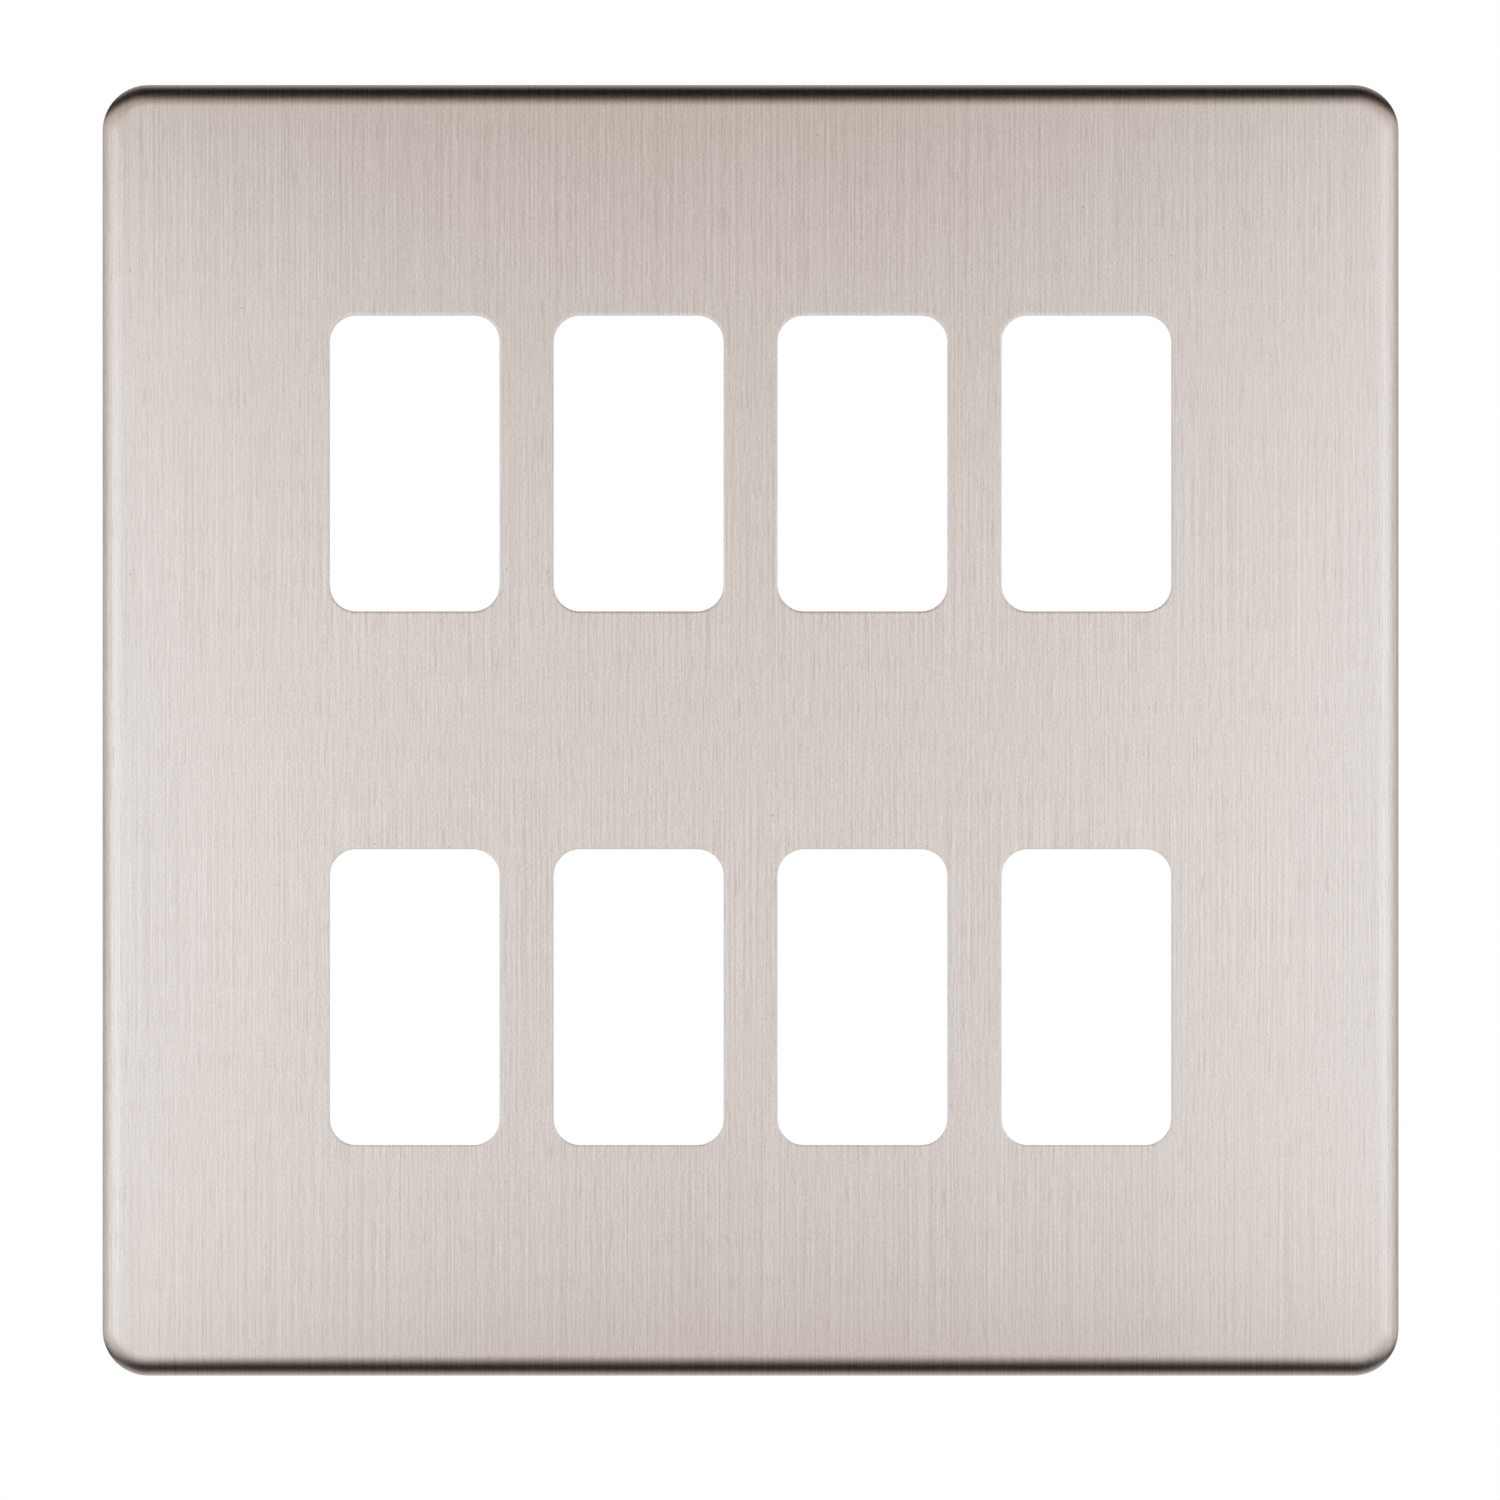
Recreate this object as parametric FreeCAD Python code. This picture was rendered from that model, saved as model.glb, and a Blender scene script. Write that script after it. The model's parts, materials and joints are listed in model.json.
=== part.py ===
import FreeCAD, Part

import math
import os

# Front plate of an eight-gang grid switch, in millimetres.
# One sheet of brushed metal: a flat front, a rounded bend all round it, a short straight rim
# behind the bend, and eight windows punched in two rows of four for the switch modules.
# The plate hangs upright: +Z is up, the front looks along -Y, and the rear edge of the rim
# lies in the wall plane, Y = 0. The origin is the middle of the plate in that plane.

# Outside of the plate
PLATE_WIDTH = 146.6
PLATE_HEIGHT = 146.0
PLATE_DEPTH = 5.5
CORNER_RADIUS = 5.2
BEND_RADIUS = 2.0

# The sheet that it is pressed from
SHEET = 1.0

# Windows for the switch modules
WINDOW_WIDTH = 19.2
WINDOW_HEIGHT = 33.45
WINDOW_CORNER_RADIUS = 3.0
WINDOW_COLUMNS = 4
WINDOW_ROWS = 2
COLUMN_PITCH = 25.3
ROW_PITCH = 60.3
# The punch draws the front edge of each window in: a shallow arc that starts level with the
# front, this wide seen from the front, and ends on the window's wall
ROLLOVER_WIDTH = 0.3
ROLLOVER_RADIUS = 0.45

# Snap dents in the left and right rims, pressed inwards to catch the mounting frame
DENT_DEPTH = 0.45
DENT_RADIUS = 0.8
DENT_LENGTH = 7.0
DENT_SPACING = 84.0
DENT_FROM_REAR = 1.6

# Notch in the rear edge of the bottom rim, for the blade that lifts the plate off its frame
NOTCH_WIDTH = 8.0
NOTCH_DEPTH = 1.4
NOTCH_CORNER_RADIUS = 0.6

# How far a cutting solid runs past the metal that it cuts
CUT_PAST = 1.0
# How near an edge must lie to a plane to count as in it
SAME_PLACE = 0.001

UP = FreeCAD.Vector(0, 0, 1)
FORWARD = FreeCAD.Vector(0, -1, 0)


def rounded_outline(width, height, radius, y):
    """The closed wire of a rectangle with round corners, upright in the plane at y, about the Y axis."""
    half_width = width / 2
    half_height = height / 2
    flat_x = half_width - radius
    flat_z = half_height - radius
    on_arc = radius * math.sqrt(0.5)

    def point(x, z):
        return FreeCAD.Vector(x, y, z)

    edges = []
    for side_x, side_z in ((1, 1), (-1, 1), (-1, -1), (1, -1)):
        middle = point(side_x * (flat_x + on_arc), side_z * (flat_z + on_arc))
        side_end = point(side_x * half_width, side_z * flat_z)
        level_end = point(side_x * flat_x, side_z * half_height)
        edges.append(Part.Arc(side_end, middle, level_end).toShape())
    for side in (1, -1):
        level = side * half_height
        upright = side * half_width
        edges.append(Part.LineSegment(point(-flat_x, level), point(flat_x, level)).toShape())
        edges.append(Part.LineSegment(point(upright, -flat_z), point(upright, flat_z)).toShape())
    return Part.Wire(Part.__sortEdges__(edges))


def rounded_block(width, height, radius, rear_y, depth):
    """A block with that outline, running forwards from rear_y by depth."""
    face = Part.Face(rounded_outline(width, height, radius, rear_y))
    return face.extrude(FORWARD * depth)


def edges_in_plane(shape, y):
    """The edges of shape that lie wholly in the upright plane at y."""
    return [
        edge
        for edge in shape.Edges
        if abs(edge.BoundBox.YMin - y) < SAME_PLACE and abs(edge.BoundBox.YMax - y) < SAME_PLACE
    ]


def pan(width, height, corner_radius, bend_radius, depth):
    """A solid pan: a rounded block from the wall plane whose front edge is rounded by the bend."""
    block = rounded_block(width, height, corner_radius, 0, depth)
    return block.makeFillet(bend_radius, edges_in_plane(block, -depth))


def pressed_shell():
    """The sheet drawn into a shallow tray: the outer pan less the pan that the sheet leaves inside."""
    outside = pan(PLATE_WIDTH, PLATE_HEIGHT, CORNER_RADIUS, BEND_RADIUS, PLATE_DEPTH)
    inside = pan(
        PLATE_WIDTH - 2 * SHEET,
        PLATE_HEIGHT - 2 * SHEET,
        CORNER_RADIUS - SHEET,
        BEND_RADIUS - SHEET,
        PLATE_DEPTH - SHEET,
    )
    return outside.cut(inside)


def window_centres():
    """The places of the windows' middles, as vectors in the wall plane."""
    first_x = -COLUMN_PITCH * (WINDOW_COLUMNS - 1) / 2
    first_z = -ROW_PITCH * (WINDOW_ROWS - 1) / 2
    return [
        FreeCAD.Vector(first_x + column * COLUMN_PITCH, 0, first_z + row * ROW_PITCH)
        for row in range(WINDOW_ROWS)
        for column in range(WINDOW_COLUMNS)
    ]


def window_punch(short_of_wall):
    """A cutter for one window about the Y axis, through the front sheet, short of each wall by that much."""
    return rounded_block(
        WINDOW_WIDTH - 2 * short_of_wall,
        WINDOW_HEIGHT - 2 * short_of_wall,
        WINDOW_CORNER_RADIUS - short_of_wall,
        SHEET - PLATE_DEPTH + CUT_PAST,
        SHEET + 2 * CUT_PAST,
    )


def punch_windows(shell):
    """The shell with every window punched through its front, and the rollover round their edges.

    A first cut stops short of the walls, its front edges are rounded, and the second cut takes the
    windows to size, which leaves the shallow first part of the rounding.
    """
    centres = window_centres()
    first_punch = window_punch(ROLLOVER_RADIUS - ROLLOVER_WIDTH)
    pierced = shell.cut([first_punch.translated(centre) for centre in centres])
    reach_x = WINDOW_WIDTH / 2
    reach_z = WINDOW_HEIGHT / 2
    window_edges = [
        edge
        for edge in edges_in_plane(pierced, -PLATE_DEPTH)
        if any(
            abs(edge.BoundBox.Center.x - centre.x) <= reach_x
            and abs(edge.BoundBox.Center.z - centre.z) <= reach_z
            for centre in centres
        )
    ]
    rounded = pierced.makeFillet(ROLLOVER_RADIUS, window_edges)
    last_punch = window_punch(0)
    return rounded.cut([last_punch.translated(centre) for centre in centres])


def capsule(radius, length, centre):
    """A cylinder along Z with half-round ends, of that length from end to end."""
    straight = length - 2 * radius
    foot = centre - UP * (straight / 2)
    head = centre + UP * (straight / 2)
    rod = Part.makeCylinder(radius, straight, foot, UP)
    return rod.fuse([Part.makeSphere(radius, foot), Part.makeSphere(radius, head)]).removeSplitter()


def press_dents(shell):
    """The shell with the snap dents pressed into its left and right rims.

    The hollow outside and the bump inside share one middle line, so the wall keeps the sheet's
    thickness round the dent and the bump stands as high as the hollow is deep.
    """
    bump_length = DENT_LENGTH + 2 * SHEET
    bump_reach = SHEET / 2 + DENT_DEPTH
    for side in (-1, 1):
        dent_x = side * (PLATE_WIDTH / 2 + DENT_RADIUS - DENT_DEPTH)
        mid_sheet_x = side * (PLATE_WIDTH - SHEET) / 2
        for level in (-DENT_SPACING / 2, DENT_SPACING / 2):
            centre = FreeCAD.Vector(dent_x, -DENT_FROM_REAR, level)
            hollow = capsule(DENT_RADIUS, DENT_LENGTH, centre)
            bump = capsule(DENT_RADIUS + SHEET, bump_length, centre)
            inward_of_mid_sheet = Part.makeBox(
                bump_reach,
                PLATE_DEPTH - SHEET,
                bump_length,
                FreeCAD.Vector(
                    min(mid_sheet_x, mid_sheet_x - side * bump_reach),
                    SHEET - PLATE_DEPTH,
                    level - bump_length / 2,
                ),
            )
            shell = shell.fuse(bump.common(inward_of_mid_sheet)).cut(hollow)
    return shell.removeSplitter()


def cut_notch(shell):
    """The shell with the lifting notch in the rear edge of its bottom rim, its inner corners rounded."""
    bottom = -PLATE_HEIGHT / 2
    notch = Part.makeBox(
        NOTCH_WIDTH,
        NOTCH_DEPTH + CUT_PAST,
        SHEET + 2 * CUT_PAST,
        FreeCAD.Vector(-NOTCH_WIDTH / 2, -NOTCH_DEPTH, bottom - CUT_PAST),
    )
    inner_corners = [
        edge
        for edge in edges_in_plane(notch, -NOTCH_DEPTH)
        if edge.BoundBox.ZLength > SAME_PLACE
    ]
    return shell.cut(notch.makeFillet(NOTCH_CORNER_RADIUS, inner_corners))


def front_plate():
    """The whole front plate, one solid."""
    plate = cut_notch(press_dents(punch_windows(pressed_shell())))
    return plate.Solids[0] if len(plate.Solids) == 1 else plate


def main():
    """Write the plate to parts/front_plate.step and print what it measures."""
    os.makedirs("parts", exist_ok=True)
    plate = front_plate()
    plate.exportStep("parts/front_plate.step")
    box = plate.optimalBoundingBox(True, False)
    print(f"front_plate: {plate.ShapeType}, {len(plate.Solids)} solid, valid {plate.isValid()}")
    print(f"size {box.XLength:.2f} x {box.YLength:.2f} x {box.ZLength:.2f} mm")
    print(f"volume {plate.Volume / 1000:.3f} cm3")


main()
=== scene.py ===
"""Dresses the front plate of a grid switch in brushed satin metal and sets it under soft studio light.

Lengths are in metres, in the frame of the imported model: +Z up, the front looking along -Y, and
the rear edge of the rim in the wall plane, Y = 0.
"""

import json
import logging
import math
from dataclasses import dataclass, field
from enum import Enum
from functools import cached_property
from typing import NamedTuple

import bmesh
import bpy
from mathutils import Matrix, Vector

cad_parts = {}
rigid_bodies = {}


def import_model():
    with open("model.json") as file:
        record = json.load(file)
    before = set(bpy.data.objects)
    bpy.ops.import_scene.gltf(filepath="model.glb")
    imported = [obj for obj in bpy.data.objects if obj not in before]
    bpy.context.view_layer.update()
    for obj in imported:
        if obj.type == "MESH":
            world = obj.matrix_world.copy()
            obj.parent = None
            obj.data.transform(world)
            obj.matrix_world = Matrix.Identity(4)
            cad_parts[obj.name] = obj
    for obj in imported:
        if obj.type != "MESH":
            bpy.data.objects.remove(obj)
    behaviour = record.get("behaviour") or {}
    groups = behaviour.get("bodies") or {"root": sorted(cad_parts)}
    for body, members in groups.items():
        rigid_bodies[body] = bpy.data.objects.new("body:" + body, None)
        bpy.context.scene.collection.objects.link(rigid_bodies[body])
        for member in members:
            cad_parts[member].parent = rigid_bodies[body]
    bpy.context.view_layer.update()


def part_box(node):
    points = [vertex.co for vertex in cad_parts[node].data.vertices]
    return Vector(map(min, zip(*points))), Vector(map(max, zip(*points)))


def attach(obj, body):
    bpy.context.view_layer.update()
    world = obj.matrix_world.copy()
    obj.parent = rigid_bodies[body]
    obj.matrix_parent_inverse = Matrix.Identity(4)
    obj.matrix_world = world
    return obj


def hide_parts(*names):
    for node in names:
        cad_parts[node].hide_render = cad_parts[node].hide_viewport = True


LOG = logging.getLogger("front_plate")
MM = 0.001
NODE = "front_plate"
BODY = "root"
PIECE = "front_plate_metal"
# The mesh's map of where each point lay in the flat sheet before it was pressed
BLANK_MAP = "flat_blank"
# How far a unit direction may lie off square and still count as square
SQUARE_WITHIN = 0.001
# The middle of a noise's range, and of a blend of two colours
MIDDLE = 0.5

Colour = tuple[float, float, float, float]
Triple = tuple[float, float, float]
Pair = tuple[float, float]
Feeds = dict[int | str, object]
Ring = list[bmesh.types.BMVert]


class Skin(Enum):
    """The finish that a face of the plate wears; the value is its place among the materials."""

    BRUSHED = 0
    MILL = 1
    SHEARED = 2


class Side(Enum):
    """A straight side of an outline, in the order that a ring goes round it."""

    RIGHT = 0
    TOP = 1
    LEFT = 2
    BOTTOM = 3

    @property
    def turn(self) -> float:
        """How far round the side lies from the right one, anticlockwise."""
        return self.value * math.pi / 2

    @property
    def out(self) -> Vector:
        """The outward direction, in X and Z."""
        return Vector((math.cos(self.turn), math.sin(self.turn)))

    @property
    def along(self) -> Vector:
        """The direction that a ring takes along the side, in X and Z."""
        return Vector((-self.out.y, self.out.x))

    @property
    def is_upright(self) -> bool:
        """Whether the side runs up and down."""
        return self in (Side.RIGHT, Side.LEFT)


@dataclass(frozen=True)
class Station:
    """A place on an outline, seen from the front: its foot and the direction square to the outline."""

    foot: Vector
    out: Vector

    def at(self, offset: float, y: float) -> Vector:
        """The point that far out from the foot, at depth y."""
        return Vector((self.foot.x + self.out.x * offset, y, self.foot.y + self.out.y * offset))

    def blank(self, arc: float) -> Pair:
        """The point's place in the flat sheet, that far out from the foot along the metal."""
        return (self.foot.x + self.out.x * arc, self.foot.y + self.out.y * arc)


@dataclass(frozen=True)
class RoundedOutline:
    """A rectangle with round corners, upright, seen from the front."""

    width: float
    height: float
    radius: float
    centre: Pair = (0.0, 0.0)
    corner_steps: int = 14
    side_step: float = 6 * MM
    # How near an evenly spaced place may come to an extra one
    least_gap: float = 2 * MM

    def marks(self, reach: float, extra: list[float]) -> list[float]:
        """Places along a straight side: evenly spaced ones, and the extra ones among them.

        Args:
            reach: half the length of the straight side.
            extra: places that the side needs too, measured from its middle.

        Returns:
            Every place from one end of the side to the other, without the ends.
        """
        count = max(1, round(2 * reach / self.side_step))
        even = [reach * (2 * step / count - 1) for step in range(1, count)]
        clear = [mark for mark in even if all(abs(mark - other) > self.least_gap for other in extra)]
        return sorted(clear + extra)

    def stations(self, extra: dict[Side, list[float]] | None = None) -> list[Station]:
        """The outline's stations, anticlockwise from the foot of its right side.

        Args:
            extra: further places along a straight side, measured from its middle.

        Returns:
            The stations in order; the last one is next to the first.
        """
        middle = Vector(self.centre)
        flat_x = self.width / 2 - self.radius
        flat_z = self.height / 2 - self.radius
        ring = []
        for side in Side:
            reach, distance = (flat_z, flat_x) if side.is_upright else (flat_x, flat_z)
            straight = middle + side.out * (distance + self.radius)
            for mark in self.marks(reach, (extra or {}).get(side, [])):
                ring.append(Station(straight + side.along * mark, side.out))
            corner = middle + side.out * distance + side.along * reach
            for step in range(self.corner_steps + 1):
                angle = side.turn + math.pi / 2 * step / self.corner_steps
                round_out = Vector((math.cos(angle), math.sin(angle)))
                ring.append(Station(corner + round_out * self.radius, round_out))
        return ring


class SheetMesh:
    """Collects the faces of one pressed sheet, with each point's place in the flat blank."""

    SHARP_ANGLE = math.radians(30)

    def __init__(self) -> None:
        """Start with no faces."""
        self.form = bmesh.new()
        self.blanks: dict[bmesh.types.BMVert, Pair] = {}

    def ring(self, places: list[tuple[Vector, Pair]]) -> Ring:
        """Add a closed ring of points.

        Args:
            places: each point, and its place in the blank.

        Returns:
            The new points in order.
        """
        points = []
        for place, blank in places:
            point = self.form.verts.new(place)
            self.blanks[point] = blank
            points.append(point)
        return points

    def band(self, first: Ring, second: Ring, skin: Skin) -> None:
        """Join two rings of equally many points with a band of four-sided faces."""
        for index, point in enumerate(first):
            corners = (first[index - 1], point, second[index], second[index - 1])
            self.form.faces.new(corners).material_index = skin.value

    def level_face(self, rings: list[Ring], skin: Skin) -> None:
        """Fill the flat ground inside the first ring and outside the others."""
        edges = []
        for ring in rings:
            for index, point in enumerate(ring):
                pair = (ring[index - 1], point)
                edges.append(self.form.edges.get(pair) or self.form.edges.new(pair))
        filled = bmesh.ops.triangle_fill(self.form, use_beauty=True, edges=edges)
        for part in filled["geom"]:
            if isinstance(part, bmesh.types.BMFace):
                part.material_index = skin.value

    def to_object(self, name: str) -> bpy.types.Object:
        """Close the mesh and put it in the scene.

        Args:
            name: what the new object is called.

        Returns:
            The object, smooth except at its sharp edges, with its flat faces leading the shading.
        """
        bmesh.ops.recalc_face_normals(self.form, faces=self.form.faces)
        layer = self.form.loops.layers.uv.new(BLANK_MAP)
        for face in self.form.faces:
            face.smooth = True
            for corner in face.loops:
                corner[layer].uv = self.blanks[corner.vert]
        for edge in self.form.edges:
            edge.smooth = edge.calc_face_angle(math.pi) < self.SHARP_ANGLE
        mesh = bpy.data.meshes.new(name)
        self.form.to_mesh(mesh)
        self.form.free()
        made = bpy.data.objects.new(name, mesh)
        bpy.context.scene.collection.objects.link(made)
        leading = made.modifiers.new("flat_faces_lead", "WEIGHTED_NORMAL")
        leading.keep_sharp = True
        return made


@dataclass(frozen=True)
class SnapDents:
    """The dents pressed into the left and right rims, which catch the mounting frame."""

    depth: float = 0.45 * MM
    length: float = 7.0 * MM
    spacing: float = 84.0 * MM
    from_rear: float = 1.6 * MM
    # How far the press draws the metal in round the dent's middle line
    reach_outside: float = 0.9 * MM
    reach_inside: float = 1.3 * MM
    mesh_step: float = 0.22 * MM

    def marks(self) -> list[float]:
        """Places along a side rim that are close enough together to show both dents."""
        reach = self.length / 2 + self.reach_inside
        count = round(2 * reach / self.mesh_step)
        around = [reach * (2 * step / count - 1) for step in range(count + 1)]
        return [level + mark for level in (-self.spacing / 2, self.spacing / 2) for mark in around]

    def press(self, point: Vector, out: Vector, reach: float) -> Vector:
        """Draw a point of a side rim inwards if it lies in a dent.

        Args:
            point: the point on the straight rim.
            out: the outward direction there, in X and Z.
            reach: how far from the dent's middle line the metal is drawn in.

        Returns:
            The point on the dented rim.
        """
        if abs(out.y) > SQUARE_WITHIN:
            return point
        past_line = abs(abs(point.z) - self.spacing / 2) - (self.length / 2 - self.reach_outside)
        away = math.hypot(max(0.0, past_line), point.y + self.from_rear)
        if away >= reach:
            return point
        drawn = self.depth * math.cos(math.pi / 2 * away / reach) ** 2
        return point - Vector((out.x * drawn, 0, 0))


@dataclass(frozen=True)
class LiftNotch:
    """The notch in the rear edge of the bottom rim, for the blade that lifts the plate off."""

    width: float = 8.0 * MM
    depth: float = 1.4 * MM
    corner_radius: float = 0.6 * MM
    corner_steps: int = 6
    # Width of the band of mesh that stands for the notch's upright wall
    wall: float = 0.01 * MM

    def marks(self) -> list[float]:
        """Places along the bottom rim that the notch's outline needs."""
        straight = self.width / 2 - self.corner_radius
        turns = [math.pi / 2 * step / self.corner_steps for step in range(self.corner_steps + 1)]
        half = [straight + self.corner_radius * math.sin(turn) for turn in turns]
        half.append(self.width / 2 + self.wall)
        return sorted([-mark for mark in half] + half)

    def rear_edge(self, station: Station) -> float:
        """The depth y of the rim's rear edge at a station."""
        away = abs(station.foot.x)
        if station.out.y > SQUARE_WITHIN - 1 or away > self.width / 2 + self.wall / 2:
            return 0.0
        into_corner = max(0.0, away - (self.width / 2 - self.corner_radius))
        rise = math.sqrt(max(0.0, self.corner_radius**2 - into_corner**2))
        return self.corner_radius - self.depth - rise


@dataclass(frozen=True)
class Windows:
    """The eight windows punched through the front for the switch modules."""

    width: float = 19.2 * MM
    height: float = 33.45 * MM
    corner_radius: float = 3.0 * MM
    columns: int = 4
    rows: int = 2
    column_pitch: float = 25.3 * MM
    row_pitch: float = 60.3 * MM
    # The shallow arc that the punch draws round each window's front edge
    rollover_width: float = 0.34 * MM
    rollover_radius: float = 1.3 * MM
    rollover_steps: int = 5
    wall_steps: int = 3
    corner_steps: int = 10

    def outlines(self) -> list[RoundedOutline]:
        """The outline of each window's wall, row by row from below."""
        first_x = -self.column_pitch * (self.columns - 1) / 2
        first_z = -self.row_pitch * (self.rows - 1) / 2
        return [
            RoundedOutline(
                self.width,
                self.height,
                self.corner_radius,
                (first_x + column * self.column_pitch, first_z + row * self.row_pitch),
                corner_steps=self.corner_steps,
            )
            for row in range(self.rows)
            for column in range(self.columns)
        ]

    def rollover(self, front: float) -> list[Pair]:
        """The rollover's section, from the flat front in to the wall.

        Args:
            front: the depth y of the flat front.

        Returns:
            Pairs of how far a point lies out from the wall, and its depth y.
        """
        full_turn = math.asin(self.rollover_width / self.rollover_radius)
        section = []
        for step in range(self.rollover_steps + 1):
            turn = full_turn * step / self.rollover_steps
            out = self.rollover_width - self.rollover_radius * math.sin(turn)
            section.append((out, front + self.rollover_radius * (1 - math.cos(turn))))
        return section


class BendStep(NamedTuple):
    """A place on a bend: how far out and how far behind the flat, its turn, and the metal up to it."""

    out: float
    behind: float
    turn: float
    arc: float


@dataclass(frozen=True)
class SoftBend:
    """The section of the bend between the flat front and the rim.

    It starts gently and tightens towards the rim: its turn grows as a power of the way round.
    """

    # How far behind the flat it ends
    depth: float
    steps: int = 22
    softness: float = 1.35
    fine_steps: int = 400

    def walk(self) -> list[BendStep]:
        """Follow the outside of the bend.

        Returns:
            The steps in order, from the flat front to the rim.
        """
        places = [BendStep(0.0, 0.0, 0.0, 0.0)]
        out = behind = 0.0
        for fine in range(self.fine_steps):
            turn = math.pi / 2 * ((fine + 0.5) / self.fine_steps) ** self.softness
            out += math.cos(turn) / self.fine_steps
            behind += math.sin(turn) / self.fine_steps
            if (fine + 1) * self.steps % self.fine_steps < self.steps:
                share = (fine + 1) / self.fine_steps
                places.append(BendStep(out, behind, math.pi / 2 * share**self.softness, share))
        size = self.depth / behind
        return [
            BendStep(place.out * size, place.behind * size, place.turn, place.arc * size)
            for place in places
        ]


@dataclass
class FrontPlate:
    """The plate: one sheet pressed into a shallow tray, its windows, snap dents and lifting notch."""

    width: float
    height: float
    depth: float
    sheet: float = 1.0 * MM
    corner_radius: float = 5.2 * MM
    bend_radius: float = 2.0 * MM
    # Small flat that breaks the sheared rear edge of the rim
    edge_break: float = 0.08 * MM
    rim_steps: int = 16
    windows: Windows = field(default_factory=Windows)
    dents: SnapDents = field(default_factory=SnapDents)
    notch: LiftNotch = field(default_factory=LiftNotch)

    @classmethod
    def from_frame(cls) -> "FrontPlate":
        """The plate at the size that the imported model's box gives."""
        low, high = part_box(NODE)
        return cls(high.x - low.x, high.z - low.z, high.y - low.y)

    def bend_sections(self) -> tuple[list[Triple], list[Triple]]:
        """The bend's outside and inside, from the flat to the rim.

        Returns:
            For each face the steps' offset out from the outline where the bend's quarter circle
            would start, their depth y, and their place along the blank.
        """
        walk = SoftBend(self.bend_radius).walk()
        early = walk[-1].out - self.bend_radius
        front = -self.depth
        outside = [(step.out - early, front + step.behind, step.arc - early) for step in walk]
        inside = [
            (
                step.out - early - self.sheet * math.sin(step.turn),
                front + step.behind + self.sheet * math.cos(step.turn),
                step.arc - early,
            )
            for step in walk
        ]
        return outside, inside

    @cached_property
    def bend_length(self) -> float:
        """The length of metal from the ring where the flat front ends to the start of the rim."""
        outside, _ = self.bend_sections()
        return outside[-1][2]

    def rim(self, station: Station, offset: float, y: float, reach: float) -> tuple[Vector, Pair]:
        """A point on the straight rim.

        Args:
            station: the place on the ring where the flat front ends.
            offset: how far out from that ring the rim's face stands.
            y: the point's depth.
            reach: how far round a dent's middle line this face is drawn in.

        Returns:
            The point, and its place in the blank.
        """
        behind_bend = y + self.depth - self.bend_radius
        point = self.dents.press(station.at(offset, y), station.out, reach)
        return point, station.blank(self.bend_length + behind_bend)

    def rim_levels(self, station: Station) -> list[float]:
        """The depths y of the rim's rows at a station, from the bend to just before its rear edge."""
        start = self.bend_radius - self.depth
        end = self.notch.rear_edge(station) - self.edge_break
        return [start + (end - start) * step / self.rim_steps for step in range(1, self.rim_steps + 1)]

    def add_edge_strip(self, mesh: SheetMesh, stations: list[Station]) -> tuple[Ring, Ring]:
        """Build the bend, the rim and the rim's inside, from the front round to the back.

        Args:
            mesh: the mesh to add to.
            stations: the ring where the flat front ends.

        Returns:
            The rings that bound the flat front and the flat back.
        """
        inner_radius = self.bend_radius - self.sheet
        outside = (self.bend_radius, self.dents.reach_outside)
        inside = (inner_radius, self.dents.reach_inside)
        levels = [self.rim_levels(station) for station in stations]
        rears = [self.notch.rear_edge(station) for station in stations]

        def bend_ring(step: Triple) -> Ring:
            """The ring at one step of the bend's section."""
            offset, y, arc = step
            return mesh.ring([(station.at(offset, y), station.blank(arc)) for station in stations])

        def rim_ring(face: Pair, row: int) -> Ring:
            """The ring at one row of a face of the rim, given the face's offset and its dents' reach."""
            return mesh.ring([
                self.rim(station, face[0], level[row], face[1])
                for station, level in zip(stations, levels)
            ])

        def rear_ring(offset: float) -> Ring:
            """The ring in the rim's rear edge, that far out from the ring where the front ends."""
            return mesh.ring([
                self.rim(station, offset, rear, reach=0.0) for station, rear in zip(stations, rears)
            ])

        bend_outside, bend_inside = self.bend_sections()
        rows = range(self.rim_steps)
        outer = [bend_ring(step) for step in bend_outside]
        outer += [rim_ring(outside, row) for row in rows]
        rear = [
            rear_ring(self.bend_radius - self.edge_break),
            rear_ring(inner_radius + self.edge_break),
        ]
        inner = [rim_ring(inside, row) for row in reversed(rows)]
        inner += [bend_ring(step) for step in reversed(bend_inside)]
        self.join(mesh, outer, Skin.BRUSHED)
        self.join(mesh, [outer[-1], *rear, inner[0]], Skin.SHEARED)
        self.join(mesh, inner, Skin.MILL)
        return outer[0], inner[-1]

    def add_window(self, mesh: SheetMesh, outline: RoundedOutline) -> tuple[Ring, Ring]:
        """Build the rollover and the wall of one window.

        Args:
            mesh: the mesh to add to.
            outline: the outline of the window's wall.

        Returns:
            The rings that bound the window in the flat front and in the flat back.
        """
        stations = outline.stations()
        section = self.windows.rollover(-self.depth)
        wall_start = section[-1][1]
        wall_end = self.sheet - self.depth

        def ring(out: float, y: float) -> Ring:
            """The ring that far out from the window's wall, at depth y."""
            return mesh.ring([(station.at(out, y), station.blank(out)) for station in stations])

        rolled = [ring(out, y) for out, y in section]
        steps = self.windows.wall_steps
        wall = [rolled[-1]]
        for step in range(1, steps + 1):
            wall.append(ring(0.0, wall_start + (wall_end - wall_start) * step / steps))
        self.join(mesh, rolled, Skin.BRUSHED)
        self.join(mesh, wall, Skin.SHEARED)
        return rolled[0], wall[-1]

    @staticmethod
    def join(mesh: SheetMesh, rings: list[Ring], skin: Skin) -> None:
        """Join each ring to the next with a band of that skin."""
        for first, second in zip(rings, rings[1:]):
            mesh.band(first, second, skin)

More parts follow.
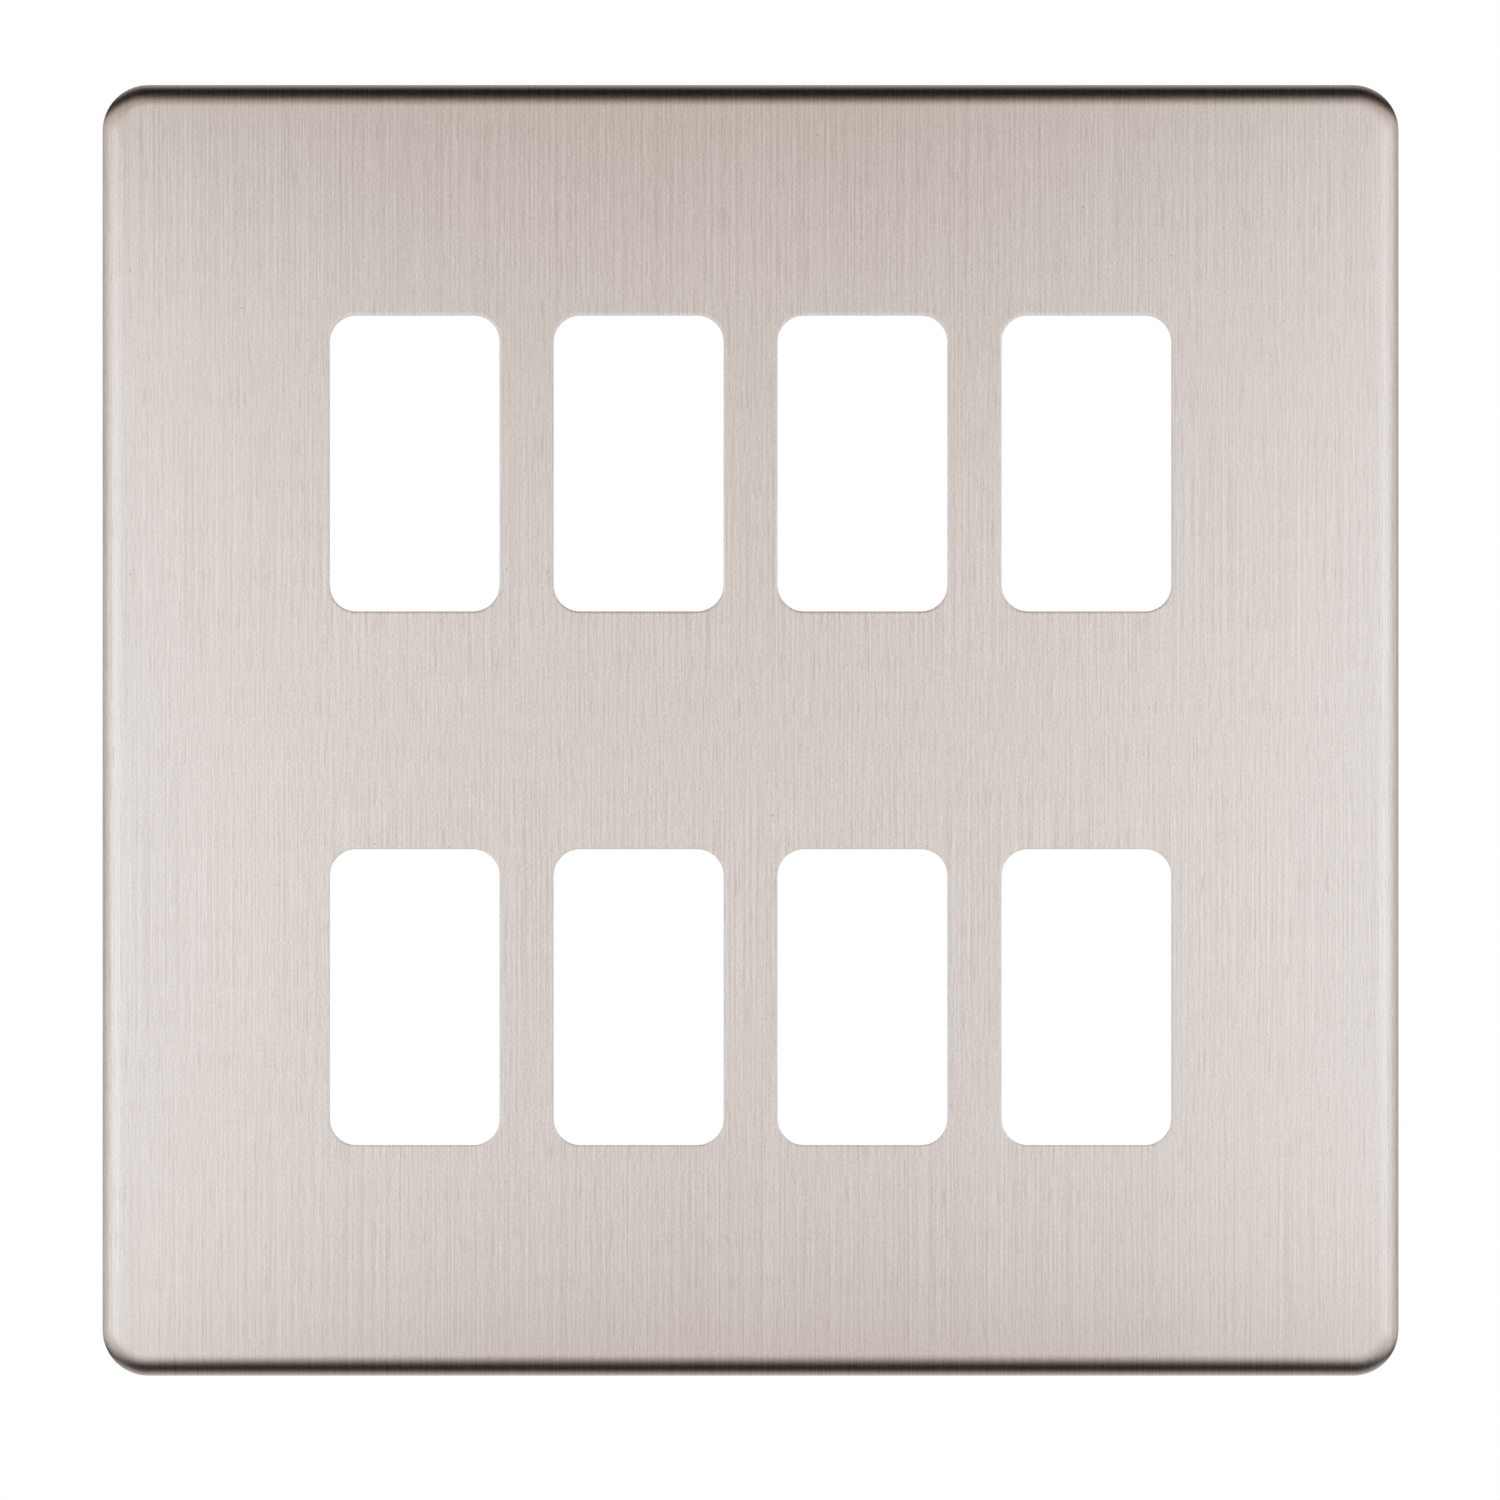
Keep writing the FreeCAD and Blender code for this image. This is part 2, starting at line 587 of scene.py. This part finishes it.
    def build(self) -> bpy.types.Object:
        """Make the plate's mesh.

        Returns:
            The plate, bare, in its place.
        """
        mesh = SheetMesh()
        flat_front = RoundedOutline(
            self.width - 2 * self.bend_radius,
            self.height - 2 * self.bend_radius,
            self.corner_radius - self.bend_radius,
        )
        dent_marks = self.dents.marks()
        stations = flat_front.stations({
            Side.RIGHT: dent_marks,
            Side.LEFT: dent_marks,
            Side.BOTTOM: self.notch.marks(),
        })
        bounds = [self.add_edge_strip(mesh, stations)]
        bounds += [self.add_window(mesh, outline) for outline in self.windows.outlines()]
        mesh.level_face([front for front, back in bounds], Skin.BRUSHED)
        mesh.level_face([back for front, back in bounds], Skin.MILL)
        return mesh.to_object(PIECE)

    def dress(self, plate: bpy.types.Object) -> None:
        """Give every face of the plate its finish, in the order of Skin."""
        finishes = {
            Skin.BRUSHED: BrushedFinish(),
            Skin.MILL: MillFinish(),
            Skin.SHEARED: ShearedFinish(front=-self.depth, sheet=self.sheet),
        }
        for skin in Skin:
            plate.data.materials.append(finishes[skin].material())


class Desk:
    """Adds nodes to one shader tree and joins them."""

    # Where a Mix node has its share, its two colours and its blended colour
    MIX_SHARE = 0
    MIX_FIRST = 6
    MIX_SECOND = 7
    MIX_RESULT = 2

    def __init__(self, tree: bpy.types.NodeTree) -> None:
        """Work on that tree."""
        self.tree = tree

    def feed(self, socket: bpy.types.NodeSocket, value: object) -> None:
        """Link an output to a socket, or write a plain value on it."""
        if isinstance(value, bpy.types.NodeSocket):
            self.tree.links.new(value, socket)
        else:
            socket.default_value = value

    def add(self, kind: str, feeds: Feeds | None = None, **options: object) -> bpy.types.Node:
        """Add a node.

        Args:
            kind: the node's type.
            feeds: values or outputs for its inputs, by name or place.
            options: the node's own settings.

        Returns:
            The new node.
        """
        node = self.tree.nodes.new(kind)
        for name, value in options.items():
            setattr(node, name, value)
        for name, value in (feeds or {}).items():
            self.feed(node.inputs[name], value)
        return node

    def math(self, operation: str, *values: object, clamp: bool = False) -> bpy.types.NodeSocket:
        """The result of a Math node on those values."""
        node = self.add("ShaderNodeMath", dict(enumerate(values)), operation=operation, use_clamp=clamp)
        return node.outputs[0]

    def ramp(self, value: bpy.types.NodeSocket, low: Pair, high: Pair) -> bpy.types.NodeSocket:
        """That value carried from one span to another, and held at its ends.

        Args:
            value: the value to carry over.
            low: the start of the span, and what it becomes.
            high: the end of the span, and what it becomes.

        Returns:
            The new value.
        """
        feeds = {
            "Value": value,
            "From Min": low[0],
            "From Max": high[0],
            "To Min": low[1],
            "To Max": high[1],
        }
        return self.add("ShaderNodeMapRange", feeds).outputs[0]

    def blend(self, share: object, first: object, second: object) -> bpy.types.NodeSocket:
        """A colour between two others; share 0 is the first."""
        feeds = {self.MIX_SHARE: share, self.MIX_FIRST: first, self.MIX_SECOND: second}
        return self.add("ShaderNodeMix", feeds, data_type="RGBA").outputs[self.MIX_RESULT]


def empty_material(name: str) -> tuple[bpy.types.Material, Desk]:
    """A new material without nodes, and a desk to add them with."""
    made = bpy.data.materials.new(name)
    made.use_nodes = True
    made.node_tree.nodes.clear()
    return made, Desk(made.node_tree)


def hang_sheet(name: str, corners: list[Triple], material: bpy.types.Material) -> bpy.types.Object:
    """Put a flat sheet of the studio in the scene.

    Args:
        name: what the sheet is called.
        corners: its four corners in order.
        material: its finish.

    Returns:
        The sheet.
    """
    mesh = bpy.data.meshes.new(name)
    mesh.from_pydata(corners, [], [(0, 1, 2, 3)])
    mesh.materials.append(material)
    sheet = bpy.data.objects.new(name, mesh)
    bpy.context.scene.collection.objects.link(sheet)
    return sheet


@dataclass(frozen=True)
class Strokes:
    """One family of brush strokes on the blank."""

    pitch: float
    length: float
    weight: float
    seed: float


class StrokeField:
    """The shader node group that draws fine parallel strokes along the sheet's brushing."""

    NAME = "brush_strokes"
    # The metal that a stroke pushes aside stands beside it: how many pitches away, and how strongly
    FLANK_PLACE = 1.6
    FLANK_SHARE = 0.12

    @classmethod
    def group(cls) -> bpy.types.NodeTree:
        """The node group, built the first time that it is asked for."""
        return bpy.data.node_groups.get(cls.NAME) or cls.build()

    @classmethod
    def build(cls) -> bpy.types.NodeTree:
        """Build the group: noise on the blank's map, drawn out along the strokes, less its flanks."""
        tree = bpy.data.node_groups.new(cls.NAME, "ShaderNodeTree")
        sockets = tree.interface
        sockets.new_socket(name="Blank", in_out="INPUT", socket_type="NodeSocketVector")
        for name in ("Pitch", "Length", "Seed"):
            sockets.new_socket(name=name, in_out="INPUT", socket_type="NodeSocketFloat")
        sockets.new_socket(name="Shade", in_out="OUTPUT", socket_type="NodeSocketFloat")
        desk = Desk(tree)
        given = desk.add("NodeGroupInput").outputs
        place = desk.add("ShaderNodeSeparateXYZ", {0: given["Blank"]}).outputs
        across = desk.math("DIVIDE", place[0], given["Pitch"])
        along = desk.math("DIVIDE", place[1], given["Length"])

        def noise(shift: float) -> bpy.types.NodeSocket:
            """The strokes' noise about 0, that many pitches aside."""
            moved = desk.math("ADD", across, shift)
            drawn = desk.add("ShaderNodeCombineXYZ", {0: moved, 1: along, 2: given["Seed"]})
            feeds = {"Vector": drawn.outputs[0], "Scale": 1.0, "Detail": 0.0}
            return desk.math("SUBTRACT", desk.add("ShaderNodeTexNoise", feeds).outputs[0], MIDDLE)

        flanks = desk.math("ADD", noise(-cls.FLANK_PLACE), noise(cls.FLANK_PLACE))
        shade = desk.math("MULTIPLY_ADD", flanks, -cls.FLANK_SHARE, noise(0.0))
        desk.add("NodeGroupOutput", {"Shade": shade})
        return tree

    @classmethod
    def sum(cls, desk: Desk, families: tuple[Strokes, ...]) -> bpy.types.NodeSocket:
        """Place the group once for each family in a material and add the families up.

        Args:
            desk: the material's tree.
            families: the strokes to draw.

        Returns:
            The summed shade, about 0, from the blank's map.
        """
        total: object = 0.0
        for family in families:
            total = desk.math("MULTIPLY_ADD", cls.draw(desk, family), family.weight, total)
        return total

    @classmethod
    def draw(cls, desk: Desk, family: Strokes) -> bpy.types.NodeSocket:
        """Place the group once in a material, with one family's values; its shade lies about 0."""
        blank = desk.add("ShaderNodeUVMap", uv_map=BLANK_MAP).outputs[0]
        feeds = {"Blank": blank, "Pitch": family.pitch, "Length": family.length, "Seed": family.seed}
        return desk.add("ShaderNodeGroup", node_tree=cls.group(), feeds=feeds).outputs[0]


class MetalFinish:
    """What the plate's finishes share: a bare-metal shader."""

    name: str = "metal"

    def material(self) -> bpy.types.Material:
        """The finish as a material."""
        made, desk = empty_material(self.name)
        surface = desk.add("ShaderNodeBsdfPrincipled", {"Metallic": 1.0})
        desk.add("ShaderNodeOutputMaterial", {"Surface": surface.outputs[0]})
        self.paint(desk, surface)
        return made

    def paint(self, desk: Desk, surface: bpy.types.Node) -> None:
        """Feed the shader's colour, roughness and normal."""
        raise NotImplementedError

    @staticmethod
    def emboss(
        desk: Desk, surface: bpy.types.Node, relief: bpy.types.NodeSocket, height: float
    ) -> None:
        """Shade the surface as if the relief stood out from it.

        Args:
            desk: the material's tree.
            surface: the shader.
            relief: the height at each point, as a share.
            height: the height that a share of 1 stands for.
        """
        bump = desk.add("ShaderNodeBump", {"Distance": height, "Height": relief})
        desk.feed(surface.inputs["Normal"], bump.outputs[0])


@dataclass(frozen=True)
class BrushedFinish(MetalFinish):
    """The satin front: long fine upright brush strokes, which spread reflections sideways."""

    name: str = "brushed_satin_metal"
    light: Colour = (0.73, 0.66, 0.61, 1.0)
    dark: Colour = (0.54, 0.47, 0.43, 1.0)
    speck: Colour = (0.16, 0.13, 0.11, 1.0)
    roughness: float = 0.45
    roughness_play: float = 0.12
    anisotropy: float = 0.7
    stroke_height: float = 0.0006 * MM
    # From short marks to long strokes; the last are the deep ones, which the light catches
    families: tuple[Strokes, ...] = (
        Strokes(pitch=0.14 * MM, length=0.36 * MM, weight=0.85, seed=1.0),
        Strokes(pitch=0.2 * MM, length=1.8 * MM, weight=0.5, seed=12.0),
        Strokes(pitch=0.13 * MM, length=7.0 * MM, weight=0.6, seed=23.0),
        Strokes(pitch=0.16 * MM, length=40.0 * MM, weight=0.95, seed=34.0),
    )
    # Odd darker scratches: they grow from nothing to their full depth between these two shades
    scratches: Strokes = Strokes(pitch=0.17 * MM, length=5.0 * MM, weight=1.0, seed=56.0)
    scratch_full: float = -0.3
    scratch_none: float = -0.18
    scratch_depth: float = 0.5
    # One cell of the blank in which a speck may lie, how many cells hold one, the speck's radius,
    # and the share of it that is fully dark
    speck_cell: float = 2.5 * MM
    speck_share: float = 0.006
    speck_radius: float = 0.09 * MM
    speck_core: float = 0.5

    def paint(self, desk: Desk, surface: bpy.types.Node) -> None:
        """Feed the strokes to colour, roughness and bump, and scatter a few dark specks."""
        shade = StrokeField.sum(desk, self.families)
        odd = StrokeField.draw(desk, self.scratches)
        scratch = desk.ramp(odd, (self.scratch_full, self.scratch_depth), (self.scratch_none, 0.0))
        share = desk.math("SUBTRACT", desk.math("ADD", shade, MIDDLE), scratch, clamp=True)
        stroked = desk.blend(share, self.dark, self.light)
        desk.feed(surface.inputs["Base Color"], desk.blend(self.specks(desk), stroked, self.speck))
        rough = desk.math("MULTIPLY_ADD", shade, self.roughness_play, self.roughness)
        desk.feed(surface.inputs["Roughness"], rough)
        surface.inputs["Anisotropic"].default_value = self.anisotropy
        tangent = desk.add("ShaderNodeTangent", direction_type="UV_MAP", uv_map=BLANK_MAP)
        desk.feed(surface.inputs["Tangent"], tangent.outputs[0])
        deep = StrokeField.draw(desk, self.families[-1])
        self.emboss(desk, surface, deep, self.stroke_height)

    def specks(self, desk: Desk) -> bpy.types.NodeSocket:
        """A mask that is 1 in the middle of each speck."""
        blank = desk.add("ShaderNodeUVMap", uv_map=BLANK_MAP).outputs[0]
        feeds = {"Vector": blank, "Scale": 1 / self.speck_cell}
        cells = desk.add("ShaderNodeTexVoronoi", feeds, voronoi_dimensions="2D").outputs
        spot_size = self.speck_radius / self.speck_cell
        spot = desk.ramp(cells["Distance"], (spot_size * self.speck_core, 1.0), (spot_size, 0.0))
        lot = desk.add("ShaderNodeSeparateColor", {0: cells["Color"]}).outputs[0]
        chosen = desk.math("LESS_THAN", lot, self.speck_share)
        return desk.math("MULTIPLY", spot, chosen)


@dataclass(frozen=True)
class MillFinish(MetalFinish):
    """The back of the sheet as it came from the mill: dull, faintly lined along the rolling."""

    name: str = "mill_finish_metal"
    light: Colour = (0.64, 0.63, 0.61, 1.0)
    dark: Colour = (0.5, 0.49, 0.475, 1.0)
    roughness: float = 0.46
    roughness_play: float = 0.15
    line_height: float = 0.0004 * MM
    families: tuple[Strokes, ...] = (
        Strokes(pitch=0.4 * MM, length=20.0 * MM, weight=0.5, seed=41.0),
        Strokes(pitch=5.0 * MM, length=14.0 * MM, weight=0.25, seed=52.0),
    )

    def paint(self, desk: Desk, surface: bpy.types.Node) -> None:
        """Feed the rolling lines and the cloudy sheen to colour, roughness and bump."""
        shade = StrokeField.sum(desk, self.families)
        share = desk.math("ADD", shade, MIDDLE, clamp=True)
        desk.feed(surface.inputs["Base Color"], desk.blend(share, self.dark, self.light))
        rough = desk.math("MULTIPLY_ADD", shade, self.roughness_play, self.roughness)
        desk.feed(surface.inputs["Roughness"], rough)
        self.emboss(desk, surface, shade, self.line_height)


@dataclass(frozen=True)
class ShearedFinish(MetalFinish):
    """Cut metal: a burnished band next to the front, and a torn, duller one behind it."""

    front: float
    sheet: float
    name: str = "sheared_metal"
    burnished: Colour = (0.42, 0.385, 0.355, 1.0)
    torn: Colour = (0.3, 0.275, 0.255, 1.0)
    burnished_share: float = 0.45
    # How far the streaks sway the border between the two, and half of its width, as shares of the sheet
    border_sway: float = 0.5
    border_blur: float = 0.04
    burnished_roughness: float = 0.24
    torn_roughness: float = 0.58
    streak_height: float = 0.006 * MM
    streaks: tuple[Strokes, ...] = (
        Strokes(pitch=0.14 * MM, length=0.14 * MM, weight=0.8, seed=61.0),
        Strokes(pitch=0.5 * MM, length=0.5 * MM, weight=0.6, seed=72.0),
    )

    def paint(self, desk: Desk, surface: bpy.types.Node) -> None:
        """Feed streaks that run through the sheet, and the step from burnished to torn metal."""
        shade = StrokeField.sum(desk, self.streaks)
        place = desk.add("ShaderNodeTexCoord").outputs["Object"]
        y = desk.add("ShaderNodeSeparateXYZ", {0: place}).outputs[1]
        into_sheet = desk.ramp(y, (self.front, 0.0), (self.front + self.sheet, 1.0))
        wavy = desk.math("MULTIPLY_ADD", shade, self.border_sway, into_sheet)
        burnished_to = self.burnished_share - self.border_blur
        torn_from = self.burnished_share + self.border_blur
        torn = desk.ramp(wavy, (burnished_to, 0.0), (torn_from, 1.0))
        desk.feed(surface.inputs["Base Color"], desk.blend(torn, self.burnished, self.torn))
        rough = desk.ramp(torn, (0.0, self.burnished_roughness), (1.0, self.torn_roughness))
        desk.feed(surface.inputs["Roughness"], rough)
        self.emboss(desk, surface, shade, self.streak_height)


@dataclass(frozen=True)
class Framing:
    """Where the plate lies in the photograph, in its pixels, and how far off the camera stands."""

    picture: int = 1500
    left: float = 102.6
    right: float = 1398.5
    top: float = 85.4
    bottom: float = 1375.3
    distance: float = 1.0
    sensor: float = 36.0
    nearest_seen: float = 0.01

    def camera(self, plate: FrontPlate) -> None:
        """Give the scene its camera, level and square to the plate, framed as in the photograph.

        Args:
            plate: the plate that it looks at.
        """
        per_pixel = plate.width / (self.right - self.left)
        frame_width = self.picture * per_pixel
        data = bpy.data.cameras.new("camera")
        data.sensor_width = self.sensor
        data.lens = self.sensor * self.distance / frame_width
        data.clip_start = self.nearest_seen
        camera = bpy.data.objects.new("camera", data)
        outline_y = plate.bend_radius - plate.depth
        camera.location = (
            (self.picture - self.left - self.right) / 2 * per_pixel,
            outline_y - self.distance,
            (self.top + self.bottom - self.picture) / 2 * per_pixel,
        )
        camera.rotation_euler = (math.pi / 2, 0, 0)
        bpy.context.scene.collection.objects.link(camera)
        bpy.context.scene.camera = camera


@dataclass(frozen=True)
class Lamp:
    """A soft box: where it stands, what it points at and how bright its face is, 1 being white."""

    # Watts that each square metre of a lamp's face needs to look white
    WHITE_POWER = 4.0

    name: str
    place: Triple
    aim: Triple
    size: Pair
    brightness: float
    tint: Triple

    def build(self) -> None:
        """Put the lamp in the scene, hidden from the camera itself."""
        data = bpy.data.lights.new(self.name, "AREA")
        data.shape = "RECTANGLE"
        data.size, data.size_y = self.size
        data.color = self.tint
        data.energy = self.WHITE_POWER * self.size[0] * self.size[1] * self.brightness
        lamp = bpy.data.objects.new(self.name, data)
        lamp.location = self.place
        towards = Vector(self.aim) - Vector(self.place)
        lamp.rotation_euler = towards.to_track_quat("-Z", "Y").to_euler()
        lamp.visible_camera = False
        bpy.context.scene.collection.objects.link(lamp)


@dataclass(frozen=True)
class CardEnds:
    """The colour that a card takes on towards its two ends, and where it starts to.

    The start's distance from the card's middle changes evenly from the front place to the rear one.
    """

    colour: Colour
    front_y: float
    front_start: float
    rear_y: float
    rear_start: float
    fade: float

    def share(
        self, desk: Desk, y: bpy.types.NodeSocket, along: bpy.types.NodeSocket
    ) -> bpy.types.NodeSocket:
        """How much of the ends' colour shows at a place on the card.

        Args:
            desk: the card's material.
            y: the place's depth.
            along: how far it lies from the card's middle, to either side.

        Returns:
            The share, from 0 to 1.
        """
        start = desk.ramp(y, (self.front_y, self.front_start), (self.rear_y, self.rear_start))
        past = desk.math("SUBTRACT", desk.math("ABSOLUTE", along), start)
        return desk.ramp(past, (0.0, 0.0), (self.fade, 1.0))


@dataclass(frozen=True)
class Card:
    """A card beside the plate, seen only in its reflections, with the shade changing along Y.

    The shades are pairs of a place y and the colour of the light that the card gives off there.
    """

    name: str
    side: Side
    distance: float
    half_width: float
    shades: tuple[tuple[float, Colour], ...]
    ends: CardEnds | None = None

    def build(self) -> None:
        """Put the card in the scene as part of the stage."""
        along = self.side.along * self.half_width
        middle = self.side.out * self.distance
        near_y = self.shades[0][0]
        far_y = self.shades[-1][0]
        corners = []
        for y, sides in ((near_y, (-1, 1)), (far_y, (1, -1))):
            for side in sides:
                place = middle + along * side
                corners.append((place.x, y, place.y))
        card = hang_sheet(self.name, corners, self.material())
        card.visible_camera = False
        card.visible_diffuse = False
        card.visible_shadow = False
        card.visible_transmission = False

    def material(self) -> bpy.types.Material:
        """The card's finish: light given off evenly, its colour blended from shade to shade."""
        made, desk = empty_material(self.name)
        place = desk.add("ShaderNodeTexCoord").outputs["Object"]
        x, y, z = desk.add("ShaderNodeSeparateXYZ", {0: place}).outputs
        colour: object = self.shades[0][1]
        for (start, _), (end, shade) in zip(self.shades, self.shades[1:]):
            share = desk.ramp(y, (start, 0.0), (end, 1.0))
            colour = desk.blend(share, colour, shade)
        if self.ends:
            along = z if self.side.is_upright else x
            colour = desk.blend(self.ends.share(desk, y, along), colour, self.ends.colour)
        glow = desk.add("ShaderNodeEmission", {"Color": colour, "Strength": 1.0})
        desk.add("ShaderNodeOutputMaterial", {"Surface": glow.outputs[0]})
        return made


@dataclass(frozen=True)
class Studio:
    """The plain pale studio: white all round, a floor below, two soft boxes, and shaded cards."""

    white: Colour = (1.0, 1.0, 1.0, 1.0)
    floor_colour: Colour = (0.86, 0.86, 0.86, 1.0)
    floor_z: float = -0.3
    floor_reach: float = 1.2
    # The floor fades from its colour to white between these distances from its middle
    floor_fade: Pair = (0.35, 1.1)

    def build(self) -> None:
        """Set up everything round the plate apart from the camera."""
        self.surround()
        self.floor()
        for card in self.cards():
            card.build()
        for lamp in self.lamps():
            lamp.build()

    def surround(self) -> None:
        """Make the world plain white."""
        world = bpy.data.worlds.new("studio_white")
        world.use_nodes = True
        world.node_tree.nodes.clear()
        # The same white everywhere needs no map of where the light comes from
        world.cycles.sampling_method = "NONE"
        desk = Desk(world.node_tree)
        light = desk.add("ShaderNodeBackground", {"Color": self.white, "Strength": 1.0})
        desk.add("ShaderNodeOutputWorld", {"Surface": light.outputs[0]})
        bpy.context.scene.world = world

    def floor(self) -> None:
        """Lay the pale matt floor, too low and short to come into the photograph's view."""
        reach = self.floor_reach
        corners = [(x * reach, y * reach, 0.0) for x, y in ((-1, -1), (1, -1), (1, 1), (-1, 1))]
        floor = hang_sheet("floor", corners, self.floor_paint())
        floor.location.z = self.floor_z

    def floor_paint(self) -> bpy.types.Material:
        """Matt paint that fades to white before the floor's edge, and is clear from below."""
        made, desk = empty_material("pale_floor")
        place = desk.add("ShaderNodeTexCoord").outputs["Object"]
        away = desk.add("ShaderNodeVectorMath", {0: place}, operation="LENGTH").outputs["Value"]
        starts, ends = self.floor_fade
        share = desk.ramp(away, (starts, 0.0), (ends, 1.0))
        paint = desk.blend(share, self.floor_colour, self.white)
        matt = desk.add("ShaderNodeBsdfDiffuse", {"Color": paint}).outputs[0]
        clear = desk.add("ShaderNodeBsdfTransparent").outputs[0]
        below = desk.add("ShaderNodeNewGeometry").outputs["Backfacing"]
        surface = desk.add("ShaderNodeMixShader", {0: below, 1: matt, 2: clear})
        desk.add("ShaderNodeOutputMaterial", {"Surface": surface.outputs[0]})
        return made

    def cards(self) -> list[Card]:
        """The cards that shade the bends: a deep pair above, a short one below and one on each side.

        The ends of the upper and lower cards are bright and those of the side cards are black, so
        that the dark line in the bend narrows round the plate's corners.

        Returns:
            The cards, to be built.
        """
        black = (0.0, 0.0, 0.0, 1.0)
        ember = (0.25, 0.06, 0.0, 1.0)
        amber = (0.5, 0.36, 0.1, 1.0)
        bronze = (0.35, 0.27, 0.165, 1.0)
        grey = (0.48, 0.455, 0.445, 1.0)
        tan = (0.63, 0.5, 0.46, 1.0)
        pale = (0.8, 0.765, 0.74, 1.0)
        taupe = (0.495, 0.43, 0.39, 1.0)
        high = ((-0.42, ember), (-0.25, ember))
        above = (
            (-0.25, amber), (-0.19, amber), (-0.14, bronze), (-0.09, black), (0.004, black),
            (0.024, grey), (0.12, grey),
        )
        below = (
            (-0.125, tan), (-0.056, tan), (-0.022, black), (-0.008, black), (0.01, pale),
            (0.034, pale),
        )
        beside = ((0.0, taupe), (0.2, taupe))
        above_ends = CardEnds(
            colour=(1.0, 0.94, 0.89, 1.0),
            front_y=-0.1,
            front_start=0.075,
            rear_y=0.03,
            rear_start=0.2,
            fade=0.03,
        )
        below_ends = CardEnds(
            colour=(1.0, 0.97, 0.95, 1.0),
            front_y=-0.045,
            front_start=0.062,
            rear_y=-0.018,
            rear_start=0.1,
            fade=0.012,
        )
        beside_ends = CardEnds(
            colour=black,
            front_y=0.0,
            front_start=0.087,
            rear_y=0.02,
            rear_start=0.08,
            fade=0.012,
        )
        upper = {"side": Side.TOP, "distance": 0.125}
        lower = {"side": Side.BOTTOM, "distance": 0.09, "half_width": 0.092}
        lateral = {"distance": 0.12, "half_width": 0.2, "shades": beside, "ends": beside_ends}
        return [
            Card("card_high", **upper, half_width=0.5, shades=high),
            Card("card_above", **upper, half_width=0.3, shades=above, ends=above_ends),
            Card("card_below", **lower, shades=below, ends=below_ends),
            Card("card_left", Side.LEFT, **lateral),
            Card("card_right", Side.RIGHT, **lateral),
        ]

    def lamps(self) -> list[Lamp]:
        """The tall cool soft boxes that brighten the left and right of the plate."""
        box = {"size": (0.09, 0.18), "tint": (0.66, 0.85, 1.0)}
        left = Lamp(
            "soft_box_left",
            place=(-0.126, -0.106, -0.008),
            aim=(-0.05, 0.0, -0.008),
            brightness=0.92,
            **box,
        )
        right = Lamp(
            "soft_box_right",
            place=(0.125, -0.11, 0.007),
            aim=(0.05, 0.0, 0.007),
            brightness=0.9,
            **box,
        )
        return [left, right]


def main() -> None:
    """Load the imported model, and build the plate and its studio."""
    logging.basicConfig(level=logging.INFO, format="%(name)s: %(message)s")
    bpy.context.scene.view_settings.view_transform = "Standard"
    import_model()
    sizes = FrontPlate.from_frame()
    Framing().camera(sizes)
    plate = sizes.build()
    sizes.dress(plate)
    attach(plate, BODY)
    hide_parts(NODE)
    mesh = plate.data
    LOG.info("%s: %d faces in %d finishes", plate.name, len(mesh.polygons), len(mesh.materials))
    Studio().build()
    LOG.info("studio: %s", ", ".join(sorted(o.name for o in bpy.context.scene.objects)))


if __name__ == "__main__":
    main()
